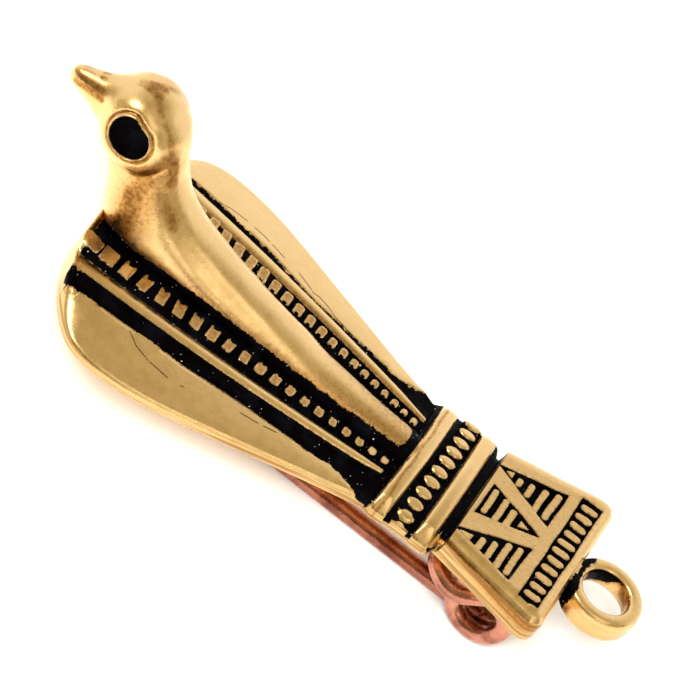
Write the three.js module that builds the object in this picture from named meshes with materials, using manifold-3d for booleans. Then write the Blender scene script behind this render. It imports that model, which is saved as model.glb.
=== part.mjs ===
// Dove fibula: a cast brass brooch in the shape of a bird with folded wings, and the
// copper wire pin and spring that hang under its tail.
//
// Millimetres. The beak points to -X, the tail to +X, the head rises to +Z. Heights in the
// functions below are counted from the casting's flat underside; the group is lifted at
// the end, so that the brooch stands on z = 0 on the foot of its catch.
import * as THREE from 'three';
import { mergeVertices } from 'three/addons/utils/BufferGeometryUtils.js';
import Module from 'manifold-3d';

const wasm = await Module();
wasm.setup();

// ---- driving dimensions -------------------------------------------------------------
const FOOT_DROP = 6.0; // the catch's foot lies this far under the flat underside
const WING_FRONT_X = -19.7;
const WING_END_X = 7.2; // the wings run a little way into the collar
const WING_EDGE = 0.87; // thickness of the wings at their rim
const FILLET_RISE = 0.5; // raised line beside the bead row
const BEAD_RISE = 0.5;
const BEAD_DEPTH = 0.9; // how far a bead runs down into the casting
const LEFT_BEADS = 20;
const LEFT_START_X = 6.53;
const LEFT_LENGTH = 25.44;
const RIGHT_BEADS = 23;
const RIGHT_START_X = 6.63;
const RIGHT_PITCH = 0.9;
const RIGHT_PITCH_GROWTH = 0.0102;

const COLLAR_HALF = 6.5;
const COLLAR_SIDE_Z = 0.9;
const ARCH_FULLNESS = 0.6;
const COLLAR_START_X = 6.6; // under the wings' ends
const COLLAR_END_X = 13.25;
const FRONT_RING = [7.6, 8.95];
const BACK_RING = [11.12, 12.45];
const COLLAR_BEAD_X = 10.12;
const COLLAR_BEAD_Y = -0.33; // the bead next to the middle
const COLLAR_BEAD_PITCH = 1.29;

const TAIL_FRONT_X = 13.2;
const TAIL_END_X = 22.0;
const CARVING_DEPTH = 0.3;
const TAIL_BARS = 11;
const TAIL_BAR_PITCH = 1.057;
const TAIL_BAR_Y = 0.18; // the middle bar of the row
const TAIL_BAR_X = [19.72, 20.85];
const TAIL_BAR_HALF = 0.33;
const CHANNEL_X = [19.4, 21.1];
const CHANNEL_Y = [-5.85, 6.3];

const RING_X = 24.5;
const RING_Y = 0.33;
const RING_OUTER = 3.0;
const RING_HOLE = 1.8;
const RING_LOW_Z = 0.2;
const RING_TOP_Z = 2.3;

const BEAK_TIP_X = -27.3;
const HEAD_RADIUS = 3.4;
const HEAD_X = -20.8;
const HEAD_Z = 10.3;
const EYE_X = -21.37;
const EYE_Z = 11.18;
const EYE_RADIUS = 1.5;
const EYE_FLOOR_Y = 2.55; // bottom of the drilled eye socket, from the middle plane

const WIRE_RADIUS = 0.7;
const COIL_X = 18.3;
const COIL_Z = -3.1;
const COIL_RADIUS = 2.08; // to the middle of the wire
const COIL_INNER_Y = 1.7;
const COIL_PITCH = 1.6;
const CHORD_X = 13.7;
const CHORD_Z = -2.0;
const NEEDLE_Z = COIL_Z - COIL_RADIUS;
const NEEDLE_TAPER_X = -6.0;
const NEEDLE_TIP_X = -13.8;
const NEEDLE_TIP_RADIUS = 0.12;

const LUG_HALF = 0.7;
const TRUNNION_RADIUS = 1.0;
const TRUNNION_HALF = 2.3;

const CATCH_FRONT_X = -15.4;
const CATCH_WALL = 1.2;
const CATCH_BACK_X = -9.6;
const CATCH_GROOVE_HALF = 1.0;
const CATCH_CHEEK = 1.0;
const CATCH_GROOVE_ROOF_Z = NEEDLE_Z + WIRE_RADIUS + 0.3;
const CATCH_TOE_HALF = 3.7;

// ---- small tools --------------------------------------------------------------------
function toSolid(geometry) {
  const bare = geometry.clone();
  bare.deleteAttribute('normal');
  bare.deleteAttribute('uv');
  const merged = mergeVertices(bare, 1e-4);
  const vertProperties = new Float32Array(merged.attributes.position.array);
  const triVerts = new Uint32Array(merged.index.array);
  return new wasm.Manifold(new wasm.Mesh({ numProp: 3, vertProperties, triVerts }));
}

function toGeometry(solid) {
  const mesh = solid.getMesh();
  const geometry = new THREE.BufferGeometry();
  geometry.setAttribute('position', new THREE.BufferAttribute(mesh.vertProperties, 3));
  geometry.setIndex(new THREE.BufferAttribute(mesh.triVerts, 1));
  geometry.computeVertexNormals();
  return geometry;
}

// A value that runs in straight stretches through [x, value] pairs.
function along(pairs, x) {
  let k = 1;
  while (k < pairs.length - 1 && x > pairs[k][0]) {
    k += 1;
  }
  const [x0, v0] = pairs[k - 1];
  const [x1, v1] = pairs[k];
  return v0 + ((v1 - v0) * (x - x0)) / (x1 - x0);
}

// A closed skin over rings of equal length, with flat ends.
function loft(rings) {
  const count = rings[0].length;
  const positions = rings.flat().flatMap((p) => [p.x, p.y, p.z]);
  const index = [];
  for (let r = 0; r + 1 < rings.length; r += 1) {
    for (let k = 0; k < count; k += 1) {
      const a = r * count + k;
      const b = r * count + ((k + 1) % count);
      index.push(a, b, a + count, b, b + count, a + count);
    }
  }
  const flat = rings[0].map((p) => new THREE.Vector2(p.y, p.z));
  const last = (rings.length - 1) * count;
  const ringTurns = THREE.ShapeUtils.isClockWise(flat);
  for (const face of THREE.ShapeUtils.triangulateShape(flat, [])) {
    const sameTurn = THREE.ShapeUtils.isClockWise(face.map((k) => flat[k])) === ringTurns;
    const [a, b, c] = sameTurn ? face : [...face].reverse();
    index.push(c, b, a);
    index.push(last + a, last + b, last + c);
  }
  const geometry = new THREE.BufferGeometry();
  geometry.setAttribute('position', new THREE.Float32BufferAttribute(positions, 3));
  geometry.setIndex(index);
  const solid = toSolid(geometry);
  return solid.volume() > 0 ? solid : flipped(geometry);
}

function flipped(geometry) {
  const index = geometry.index.array;
  for (let k = 0; k < index.length; k += 3) {
    [index[k], index[k + 1]] = [index[k + 1], index[k]];
  }
  return toSolid(geometry);
}

function box(x0, x1, y0, y1, z0, z1) {
  const geometry = new THREE.BoxGeometry(x1 - x0, y1 - y0, z1 - z0);
  geometry.translate((x0 + x1) / 2, (y0 + y1) / 2, (z0 + z1) / 2);
  return toSolid(geometry);
}

// An outline in plan, [x, y] points, standing from z0 to z1.
function standing(points, z0, z1) {
  const shape = new THREE.Shape(points.map(([x, y]) => new THREE.Vector2(x, y)));
  const geometry = new THREE.ExtrudeGeometry(shape, { depth: z1 - z0, bevelEnabled: false });
  geometry.translate(0, 0, z0);
  return toSolid(geometry);
}

// An outline across the bird, [y, z] points, running from x0 to x1.
function running(points, x0, x1) {
  const shape = new THREE.Shape(points.map(([y, z]) => new THREE.Vector2(y, z)));
  const geometry = new THREE.ExtrudeGeometry(shape, { depth: x1 - x0, bevelEnabled: false });
  geometry.applyMatrix4(new THREE.Matrix4().makeBasis(
    new THREE.Vector3(0, 1, 0),
    new THREE.Vector3(0, 0, 1),
    new THREE.Vector3(1, 0, 0),
  ));
  geometry.translate(x0, 0, 0);
  return toSolid(geometry);
}

// An outline seen from the bird's left side, [x, z] points, from y0 to y1.
function sideways(points, y0, y1) {
  const shape = new THREE.Shape(points.map(([x, z]) => new THREE.Vector2(x, -z)));
  const geometry = new THREE.ExtrudeGeometry(shape, { depth: y1 - y0, bevelEnabled: false });
  geometry.rotateX(-Math.PI / 2);
  const solid = toSolid(geometry);
  const low = solid.boundingBox().min[1];
  return solid.translate([0, y0 - low, 0]);
}

function joined(solids) {
  return solids.reduce((whole, solid) => whole.add(solid));
}

// How far the hand-made collar and tail sit towards the bird's right wing.
const leanY = (x) => along([[7, 0], [9, 0.15], [13, 0.3], [20, 0.45], [RING_X, RING_Y]], x);

// ---- wings --------------------------------------------------------------------------
// Half-width of the folded wings: widest near the shoulders, narrowing to the collar.
const WING_OUTLINE = new THREE.SplineCurve([
  [WING_FRONT_X, 4.4],
  [-19.5, 5.6],
  [-18.95, 7.4],
  [-18.2, 9.0],
  [-16.9, 10.75],
  [-15.4, 11.85],
  [-12.9, 12.2],
  [-8.7, 11.5],
  [-2.2, 9.35],
  [2.9, 7.6],
  [WING_END_X, 6.2],
].map(([x, y]) => new THREE.Vector2(x, y)));
const WING_STEPS = 40;

function wingOutline() {
  const side = WING_OUTLINE.getPoints(WING_STEPS).map((p) => [p.x, p.y]);
  const other = side.map(([x, y]) => [x, -y]).reverse();
  return [...other, ...side];
}

const wingHalf = (x) => along(WING_OUTLINE.getPoints(WING_STEPS).map((p) => [p.x, p.y]), x);
const ridgeHalf = (x) => 1.65 + 0.0662 * (6.6 - x);
const beadY = (x) => 2.5 + 0.1025 * (6.4 - x);
const beadTopZ = (x) => 1.7 + 0.0565 * (6.4 - x);
const filletTopZ = (x) => 1.7 + 0.0344 * (6.7 - x);
const filletWidth = (x) => 0.7 + 0.02 * (6.7 - x);

// The fillet bows outwards a little between the collar and the wing's front.
function filletY(x) {
  const t = (6.7 - x) / 24.7;
  return 3.5 + 3.0 * t + 1.64 * t * (1 - t);
}

// Outer edge of the hollow beside the fillet, and the height of the wing there.
const HOLLOW_EDGE = [[-19.7, 8.6], [-14, 8.0], [-8.7, 7.45], [-4, 6.5], [2.8, 5.95], [4.5, 5.75], [7.2, 6.5]];
const WING_TOP = [[-19.7, 1.9], [-11, 1.7], [-4, 1.3], [7.2, 1.0]];
const hollowOuterY = (x) => along(HOLLOW_EDGE, x);
const wingTopZ = (x) => along(WING_TOP, x);

// One cross-section of the wings, without the ridge: floor of the bead row, the fillet,
// the hollow beside it, and the wing's plain top down to its rim.
function wingSection(x) {
  const floor = beadTopZ(x) - BEAD_RISE;
  const middle = filletY(x);
  const half = filletWidth(x) / 2;
  const hollow = hollowOuterY(x);
  const rim = Math.max(wingHalf(x), hollow + 0.6);
  const side = [
    [ridgeHalf(x), floor],
    [middle - half - 0.1, filletTopZ(x) - FILLET_RISE],
    [middle - half * 0.6, filletTopZ(x)],
    [middle + half * 0.6, filletTopZ(x)],
    [middle + half + 0.1, filletTopZ(x) - FILLET_RISE],
    [hollow - 0.35, wingTopZ(x) - 0.35],
    [hollow, wingTopZ(x)],
    [rim, WING_EDGE],
    [rim + 1.5, WING_EDGE],
    [rim + 1.5, 0],
  ];
  const other = side.map(([y, z]) => [-y, z]).reverse();
  return [...other, ...side].map(([y, z]) => new THREE.Vector3(x, y, z));
}

function wings() {
  const stations = [];
  for (let k = 0; k <= 14; k += 1) {
    stations.push(THREE.MathUtils.lerp(WING_FRONT_X - 0.4, WING_END_X, k / 14));
  }
  const relief = loft(stations.map(wingSection));
  return relief.add(wingBeads()).intersect(standing(wingOutline(), 0, 4));
}

// The bead row: flat-topped blocks that grow towards the bird's front. Each entry is the
// bead's number from the front, its half-length and its half-width.
const BEAD_SIZES = [
  [0, 0.75, 1.05],
  [1, 0.6, 0.88],
  [2, 0.48, 0.84],
  [4, 0.44, 0.76],
  [9, 0.39, 0.62],
  [15, 0.34, 0.44],
  [19, 0.31, 0.36],
];

function wingBead(x, order, side) {
  const long = along(BEAD_SIZES.map(([k, half]) => [k, half]), order);
  const wide = along(BEAD_SIZES.map(([k, , half]) => [k, half]), order);
  const top = beadTopZ(x);
  const inner = beadY(x) - wide;
  const outer = Math.min(beadY(x) + wide, filletY(x) - filletWidth(x) / 2 - 0.2);
  const [low, high] = side > 0 ? [inner, outer] : [-outer, -inner];
  return box(x - long, x + long, low, high, top - BEAD_DEPTH, top);
}

// Counted from the collar. The left wing has fewer beads than the right one, set wider.
function leftBeadX(k) {
  const t = k / (LEFT_BEADS - 1);
  return LEFT_START_X - LEFT_LENGTH * (0.8 * t + 0.2 * t * t);
}

function rightBeadX(k) {
  return RIGHT_START_X - RIGHT_PITCH * k - RIGHT_PITCH_GROWTH * k * k;
}

function wingBeads() {
  const beads = [];
  for (let k = 0; k < LEFT_BEADS; k += 1) {
    beads.push(wingBead(leftBeadX(k), LEFT_BEADS - 1 - k, -1));
  }
  for (let k = 0; k < RIGHT_BEADS; k += 1) {
    const order = ((RIGHT_BEADS - 1 - k) * (LEFT_BEADS - 1)) / (RIGHT_BEADS - 1);
    beads.push(wingBead(rightBeadX(k), order, 1));
  }
  return joined(beads);
}

// ---- ridge, neck, head and beak -----------------------------------------------------
// Each row is one cross-section: its lowest point, its highest point and its half-width.
const BODY = [
  { low: [7.9, 0.4], high: [7.9, 2.5], half: 1.58 },
  { low: [0.6, 0.4], high: [0.6, 2.85], half: 2.05 },
  { low: [-4.0, 0.4], high: [-4.0, 3.65], half: 2.35 },
  { low: [-9.5, 0.4], high: [-9.0, 4.7], half: 2.7 },
  { low: [-14.5, 0.4], high: [-12.8, 5.85], half: 3.0 },
  { low: [-18.3, 0.5], high: [-15.0, 7.2], half: 3.2 },
  { low: [-19.9, 2.7], high: [-16.4, 8.7], half: 3.1 },
  { low: [-20.85, 4.9], high: [-17.15, 10.1], half: 2.85 },
  { low: [-21.6, 6.3], high: [-17.6, 11.15], half: 2.85 },
];
const BEAK = [
  { low: [-21.6, 7.6], high: [-21.6, 13.4], half: 2.6 },
  { low: [-23.0, 8.3], high: [-23.1, 12.9], half: 2.3 },
  { low: [-24.15, 8.8], high: [-24.0, 12.4], half: 1.75 },
  { low: [-24.95, 9.1], high: [-24.7, 11.95], half: 1.4 },
  { low: [-25.9, 9.35], high: [-25.8, 11.42], half: 1.0 },
  { low: [-26.7, 9.5], high: [-26.7, 11.08], half: 0.76 },
  { low: [-27.15, 9.75], high: [-27.15, 10.8], half: 0.48 },
  { low: [BEAK_TIP_X, 10.1], high: [BEAK_TIP_X, 10.5], half: 0.16 },
];
const BODY_SIDES = 20;

// A smooth line through the rows' low or high points, with the half-width as its y.
function spine(rows, name) {
  const points = rows.map((row) => new THREE.Vector3(row[name][0], row.half, row[name][1]));
  return new THREE.CatmullRomCurve3(points);
}

function roundLoft(rows, steps) {
  const lows = spine(rows, 'low');
  const highs = spine(rows, 'high');
  const rings = [];
  for (let k = 0; k <= steps; k += 1) {
    const low = lows.getPoint(k / steps);
    const high = highs.getPoint(k / steps);
    const ring = [];
    for (let s = 0; s < BODY_SIDES; s += 1) {
      const turn = (s / BODY_SIDES) * 2 * Math.PI;
      const up = (1 + Math.cos(turn)) / 2;
      ring.push(new THREE.Vector3(
        THREE.MathUtils.lerp(low.x, high.x, up),
        low.y * Math.sin(turn),
        THREE.MathUtils.lerp(low.z, high.z, up),
      ));
    }
    rings.push(ring);
  }
  return loft(rings);
}

function skull() {
  const ball = new THREE.SphereGeometry(HEAD_RADIUS, 24, 16);
  ball.rotateX(Math.PI / 2);
  ball.scale(1, 0.97, 1);
  ball.translate(HEAD_X, 0, HEAD_Z);
  return toSolid(ball);
}

function eyeSocket(side) {
  const drill = new THREE.CylinderGeometry(EYE_RADIUS, EYE_RADIUS, 3, 20);
  drill.translate(EYE_X, side * (EYE_FLOOR_Y + 1.5), EYE_Z);
  return toSolid(drill);
}

function bird() {
  const whole = joined([roundLoft(BODY, 22), skull(), roundLoft(BEAK, 12)]);
  return whole.subtract(eyeSocket(1)).subtract(eyeSocket(-1));
}

// ---- collar -------------------------------------------------------------------------
// An arch with rounded shoulders: upright sides, then an easy curve over the top.
function arch(half, sideZ, rise) {
  const points = [[-half, 0], [half, 0]];
  const steps = 14;
  for (let k = 0; k <= steps; k += 1) {
    const t = Math.cos((Math.PI * k) / steps);
    points.push([half * t, sideZ + rise * (1 - t * t) ** ARCH_FULLNESS]);
  }
  return points;
}

function collarBead(y) {
  const z = COLLAR_SIDE_Z + 0.9 * (1 - (y / COLLAR_HALF) ** 2) ** ARCH_FULLNESS;
  const bead = new THREE.SphereGeometry(1, 10, 6);
  bead.scale(0.68, 0.47, 0.42);
  bead.translate(COLLAR_BEAD_X + 0.03 * y, y, z);
  return toSolid(bead);
}

function collar() {
  const base = running(arch(COLLAR_HALF - 0.16, COLLAR_SIDE_Z, 0.82), COLLAR_START_X, COLLAR_END_X);
  const frontRing = running(arch(COLLAR_HALF, COLLAR_SIDE_Z, 1.5), ...FRONT_RING);
  const backRing = running(arch(COLLAR_HALF, COLLAR_SIDE_Z, 1.5), ...BACK_RING);
  const whole = joined([base, frontRing, backRing]).translate([0, leanY(10), 0]);
  const beads = [];
  for (let k = -4; k <= 5; k += 1) {
    beads.push(collarBead(COLLAR_BEAD_Y + k * COLLAR_BEAD_PITCH));
  }
  return joined([whole, ...beads]);
}

// ---- tail plate ---------------------------------------------------------------------
const tailTopZ = (x) => along([[12.9, 2.25], [TAIL_END_X, 2.6]], x);

function tailSection(x, half) {
  const top = tailTopZ(x);
  const side = [
    [half - 0.2, 0],
    [half, 0.4],
    [half, 1.3],
    [half - 0.45, top - 0.1],
    [half - 0.7, top],
  ];
  const other = side.map(([y, z]) => [-y, z]).reverse();
  return [...side, ...other].map(([y, z]) => new THREE.Vector3(x, y + leanY(x), z));
}

// Half-width along the plate, which flares towards its rounded end.
const TAIL_HALVES = [
  [TAIL_FRONT_X, 5.7],
  [15.0, 6.1],
  [17.0, 6.5],
  [19.0, 6.97],
  [20.6, 7.35],
  [21.2, 7.35],
  [21.6, 7.15],
  [21.85, 6.9],
  [TAIL_END_X, 6.5],
];

function tailPlate() {
  return loft(TAIL_HALVES.map(([x, half]) => tailSection(x, half)));
}

// Carved triangles: three corners [x, y], then the bars left standing across each one:
// x at the bar's middle and the y where it starts and ends.
const TRIANGLES = [
  {
    corners: [[12.96, -3.95], [18.3, -5.21], [18.5, -1.15]],
    bars: [[15.25, -4.62, -3.22], [16.13, -4.72, -2.85], [17.0, -4.95, -2.12], [17.84, -5.0, -1.8]],
  },
  {
    corners: [[18.52, 0.19], [13.73, 2.0], [13.65, -1.69]],
    bars: [[14.15, -1.28, 1.65], [15.15, -1.32, 1.42], [16.0, -0.99, 0.93]],
  },
  {
    corners: [[13.19, 3.8], [18.48, 1.51], [18.52, 5.55]],
    bars: [[15.1, 3.08, 3.97], [16.02, 2.72, 4.25], [17.05, 2.01, 4.65], [17.97, 1.91, 5.06]],
  },
];
const TRIANGLE_BAR_HALF = 0.25;
const ABOVE_PLATE_Z = 3.4;

function carvedTriangle({ corners, bars }) {
  const middleX = (corners[0][0] + corners[1][0] + corners[2][0]) / 3;
  const floor = tailTopZ(middleX) - CARVING_DEPTH;
  const hollow = standing(clockwise(corners), floor, ABOVE_PLATE_Z);
  const kept = bars.map(([x, y0, y1]) => (
    box(x - TRIANGLE_BAR_HALF, x + TRIANGLE_BAR_HALF, y0, y1, floor - 0.5, ABOVE_PLATE_Z + 0.1)
  ));
  return hollow.subtract(joined(kept));
}

function clockwise(points) {
  const shape = points.map(([x, y]) => new THREE.Vector2(x, y));
  return THREE.ShapeUtils.isClockWise(shape) ? [...points].reverse() : points;
}

function barredChannel() {
  const floor = tailTopZ(CHANNEL_X[0]) - CARVING_DEPTH;
  const hollow = box(...CHANNEL_X, ...CHANNEL_Y, floor, ABOVE_PLATE_Z);
  const bars = [];
  for (let k = 0; k < TAIL_BARS; k += 1) {
    const y = TAIL_BAR_Y + (k - (TAIL_BARS - 1) / 2) * TAIL_BAR_PITCH;
    bars.push(box(...TAIL_BAR_X, y - TAIL_BAR_HALF, y + TAIL_BAR_HALF, floor - 0.5, ABOVE_PLATE_Z + 0.1));
  }
  return hollow.subtract(joined(bars));
}

function tailCarving() {
  return joined([...TRIANGLES.map(carvedTriangle), barredChannel()]);
}

// The ring at the tail's end, eight-sided in section with a flat top and a flat underside.
function tailRing() {
  const middle = (RING_OUTER + RING_HOLE) / 2;
  const wide = (RING_OUTER - RING_HOLE) / 2;
  const tall = (RING_TOP_Z - RING_LOW_Z) / 2;
  const corners = [
    [1, -0.6], [1, 0.6], [0.5, 1], [-0.5, 1], [-1, 0.6], [-1, -0.6], [-0.5, -1], [0.5, -1], [1, -0.6],
  ];
  const profile = corners.map(([r, z]) => new THREE.Vector2(middle + wide * r, tall * z));
  const ring = new THREE.LatheGeometry(profile, 32);
  ring.rotateX(Math.PI / 2);
  ring.translate(RING_X, RING_Y, (RING_TOP_Z + RING_LOW_Z) / 2);
  return toSolid(ring);
}

// ---- catch and spring lug under the casting -----------------------------------------
function catchPlate() {
  const toe = running(clockwise([
    [-CATCH_TOE_HALF, -FOOT_DROP],
    [CATCH_TOE_HALF, -FOOT_DROP],
    [CATCH_TOE_HALF, -4.4],
    [2.2, 0.4],
    [-2.2, 0.4],
    [-CATCH_TOE_HALF, -4.4],
  ]), CATCH_FRONT_X, CATCH_FRONT_X + CATCH_WALL);
  const y = -COIL_INNER_Y;
  const web = sideways([
    [CATCH_FRONT_X + 0.2, 0.4],
    [CATCH_BACK_X + 1.6, 0.4],
    [CATCH_BACK_X, -3.6],
    [CATCH_FRONT_X + 0.2, -3.6],
  ], y - 0.8, y + 0.8);
  const gutterHalf = CATCH_GROOVE_HALF + CATCH_CHEEK;
  const gutter = box(CATCH_FRONT_X + 0.2, CATCH_BACK_X, y - gutterHalf, y + gutterHalf, -FOOT_DROP, -3.4);
  const groove = box(CATCH_FRONT_X + CATCH_WALL, CATCH_BACK_X + 1,
    y - CATCH_GROOVE_HALF, y + CATCH_GROOVE_HALF, -FOOT_DROP - 1, CATCH_GROOVE_ROOF_Z);
  return joined([toe, web, gutter]).subtract(groove);
}

function springLug() {
  const cheek = sideways([
    [COIL_X - 2.5, 0.4],
    [COIL_X + 2.5, 0.4],
    [COIL_X + 1.2, COIL_Z],
    [COIL_X + 0.7, COIL_Z - 1.1],
    [COIL_X - 0.7, COIL_Z - 1.1],
    [COIL_X - 1.2, COIL_Z],
  ], -LUG_HALF, LUG_HALF);
  const trunnion = new THREE.CylinderGeometry(TRUNNION_RADIUS, TRUNNION_RADIUS, 2 * TRUNNION_HALF, 20);
  trunnion.translate(COIL_X, 0, COIL_Z);
  return cheek.add(toSolid(trunnion));
}

function fibulaCasting() {
  const plate = tailPlate().subtract(tailCarving());
  return joined([wings(), bird(), collar(), plate, tailRing(), catchPlate(), springLug()]);
}

// ---- pin and spring -----------------------------------------------------------------
// One side of the spring: from the bottom of the innermost turn, round and outwards, to
// the top of the outermost one. side is -1 on the pin's side and +1 on the other.
function coilPoints(side) {
  const points = [];
  const turns = 1.5;
  const perTurn = 14;
  for (let k = 0; k <= turns * perTurn; k += 1) {
    const angle = -Math.PI / 2 + (k / perTurn) * 2 * Math.PI;
    points.push(new THREE.Vector3(
      COIL_X + COIL_RADIUS * Math.cos(angle),
      side * (COIL_INNER_Y + (COIL_PITCH * k) / perTurn),
      COIL_Z + COIL_RADIUS * Math.sin(angle),
    ));
  }
  return points;
}

// The wire leaves the outer turn forwards and bends inwards to become the chord.
function chordBend(side) {
  return [
    [17.4, 4.75, -1.05],
    [16.4, 5.1, -1.55],
    [15.3, 5.05, -1.65],
    [14.3, 4.55, -1.5],
    [CHORD_X, 3.4, -1.6],
    [CHORD_X, 1.2, CHORD_Z],
  ].map(([x, y, z]) => new THREE.Vector3(x, side * y, z));
}

function springWire() {
  const near = -1;
  const far = 1;
  const needle = [-6, 0, 6, 12].map((x) => new THREE.Vector3(x, near * COIL_INNER_Y, NEEDLE_Z));
  const freeEnd = new THREE.Vector3(COIL_X - 0.9, far * COIL_INNER_Y, NEEDLE_Z);
  const route = new THREE.CatmullRomCurve3([
    ...needle,
    ...coilPoints(near),
    ...chordBend(near),
    ...chordBend(far).reverse(),
    ...coilPoints(far).reverse(),
    freeEnd,
  ], false, 'centripetal');
  const section = new THREE.Shape();
  section.absarc(0, 0, WIRE_RADIUS, 0, 2 * Math.PI);
  const geometry = new THREE.ExtrudeGeometry(section, {
    steps: 150,
    curveSegments: 5,
    extrudePath: route,
    bevelEnabled: false,
  });
  return toSolid(geometry);
}

// The pin tapers to its point over its last stretch.
function needlePoint() {
  const length = NEEDLE_TAPER_X - NEEDLE_TIP_X + 0.6;
  const cone = new THREE.CylinderGeometry(NEEDLE_TIP_RADIUS, WIRE_RADIUS, length, 10);
  cone.rotateZ(Math.PI / 2);
  cone.translate(NEEDLE_TIP_X + length / 2, -COIL_INNER_Y, NEEDLE_Z);
  return toSolid(cone);
}

function pinAndSpring() {
  return springWire().add(needlePoint());
}

// ---- the brooch ---------------------------------------------------------------------
function named(name, solid, color, roughness, metalness) {
  const material = new THREE.MeshStandardMaterial({ color, roughness, metalness });
  const mesh = new THREE.Mesh(toGeometry(solid), material);
  mesh.name = name;
  return mesh;
}

const fibula = new THREE.Group();
fibula.name = 'dove_fibula';
fibula.position.set(-(RING_X + RING_OUTER + BEAK_TIP_X) / 2, 0, FOOT_DROP);
fibula.add(named('fibula_casting', fibulaCasting(), 0xc79a52, 0.35, 1.0));
fibula.add(named('pin_and_spring', pinAndSpring(), 0xd9754a, 0.25, 1.0));

export default fibula;
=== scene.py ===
"""A dove fibula: a cast brass brooch with black patina, and its copper wire pin.

Shapes are worked out in millimetres, in the casting's own frame: x from the beak (-) to
the tail's ring (+), y towards the bird's right wing, z up from the casting's flat
underside. place() turns them into the model's frame, in metres.
"""
import math
from collections import namedtuple
from contextlib import contextmanager

import bmesh
import bpy
import numpy as np
from mathutils import Matrix, Vector


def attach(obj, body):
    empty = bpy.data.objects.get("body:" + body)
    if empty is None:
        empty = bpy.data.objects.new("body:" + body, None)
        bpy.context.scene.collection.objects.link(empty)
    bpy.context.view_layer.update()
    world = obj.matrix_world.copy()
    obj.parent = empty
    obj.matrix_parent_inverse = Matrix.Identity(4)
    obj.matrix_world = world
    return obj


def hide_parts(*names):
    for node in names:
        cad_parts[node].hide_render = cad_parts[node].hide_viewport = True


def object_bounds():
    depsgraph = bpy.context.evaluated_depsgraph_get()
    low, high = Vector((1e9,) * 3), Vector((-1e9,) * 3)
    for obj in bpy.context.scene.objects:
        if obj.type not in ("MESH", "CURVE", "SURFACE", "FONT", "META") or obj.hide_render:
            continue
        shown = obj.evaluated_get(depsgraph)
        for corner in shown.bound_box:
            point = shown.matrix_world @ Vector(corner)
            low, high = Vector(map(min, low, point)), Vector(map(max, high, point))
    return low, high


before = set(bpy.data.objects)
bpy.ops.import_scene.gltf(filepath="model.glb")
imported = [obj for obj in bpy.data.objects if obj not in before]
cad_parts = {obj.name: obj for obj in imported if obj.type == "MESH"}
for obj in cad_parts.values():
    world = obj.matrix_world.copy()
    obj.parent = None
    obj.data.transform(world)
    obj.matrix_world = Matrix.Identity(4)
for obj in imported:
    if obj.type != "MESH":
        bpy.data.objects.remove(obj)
CAD_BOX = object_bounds()

# ---- driving dimensions, millimetres ----
FOOT_DROP = 6.0
BEAK_TIP_X = -27.3
WING_FRONT_X = -19.7
WING_END_X = 7.2
WING_EDGE = 0.87
RING1 = (7.6, 8.95)
RING2 = (11.12, 12.45)
GROOVE_END_X = 13.25
TAIL_START_X, TAIL_END_X = 12.9, 22.0
COLLAR_HALF = 6.5
COLLAR_SIDE_Z = 0.9
COLLAR_GROUND_Z, RING_PROUD = 1.72, 0.16
ARCH_FULLNESS = 0.6
CARVING_DEPTH = 0.3
RING_X, RING_Y, RING_OUTER, RING_HOLE = 24.5, 0.33, 3.0, 1.8
RING_LOW_Z, RING_TOP_Z = 0.2, 2.3
HEAD = np.array([-20.8, 0.0, 10.35])
EYE = np.array([-21.37, -3.23, 11.18])
EYE_RADIUS = 1.53
WIRE_RADIUS = 0.7
COIL_X, COIL_Z, COIL_RADIUS = 18.3, -3.1, 2.08
COIL_INNER_Y, COIL_PITCH = 1.7, 1.6
CHORD_X, CHORD_Z = 13.7, -2.0
NEEDLE_Z = COIL_Z - COIL_RADIUS
NEEDLE_TAPER_X, NEEDLE_TIP_X = -6.0, -13.8

MM = 0.001
SHIFT = np.array([CAD_BOX[0].x / MM - BEAK_TIP_X, 0.0, CAD_BOX[0].z / MM + FOOT_DROP])


def place(points):
    """Casting frame in millimetres to model frame in metres."""
    return (np.asarray(points, dtype=float) + SHIFT) * MM


# ---- small tools ----
def smooth(t):
    t = np.clip(t, 0.0, 1.0)
    return t * t * (3.0 - 2.0 * t)


def rise(a, edge, width):
    """0 below the edge, 1 above it, over the given width."""
    return smooth((a - edge) / width + 0.5)


def window(a, start, end, width):
    """1 between start and end, 0 outside them."""
    return rise(a, start, width) * (1 - rise(a, end, width))


def bell(a, middle, width):
    """1 at the middle, falling off to both sides over about the given width."""
    return np.exp(-((a - middle) / width) ** 2)


def mix(a, b, t):
    return a + (b - a) * t


def circle(steps):
    return np.linspace(0, 2 * math.pi, steps, endpoint=False)


def follow(x, knots):
    """The value at x on straight lines through (x, value) knots."""
    return np.interp(x, *zip(*knots))


def catmull(points, steps):
    """Points along a uniform Catmull-Rom curve, ends included."""
    p = np.asarray(points, dtype=float)
    last = len(p) - 1
    t = np.linspace(0.0, last, steps)
    k = np.minimum(t.astype(int), last - 1)
    f = (t - k)[:, None]
    p0, p1, p2, p3 = p[np.maximum(k - 1, 0)], p[k], p[k + 1], p[np.minimum(k + 2, last)]
    v0, v1 = (p2 - p0) / 2, (p3 - p1) / 2
    f2, f3 = f * f, f * f * f
    return (2 * p1 - 2 * p2 + v0 + v1) * f3 + (-3 * p1 + 3 * p2 - 2 * v0 - v1) * f2 + v0 * f + p1


def ripple(p, amount, length, seed):
    """Slow hand-made unevenness: a few crossed waves of about the given length."""
    rng = np.random.RandomState(seed)
    total = np.zeros(p.shape[:-1])
    for _ in range(7):
        way = rng.normal(size=3)
        way /= np.linalg.norm(way)
        pace = 2 * math.pi / (length * rng.uniform(0.7, 1.4))
        total += np.sin(p @ way * pace + rng.uniform(0, 6.28))
    return total * amount / 2.6


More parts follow.
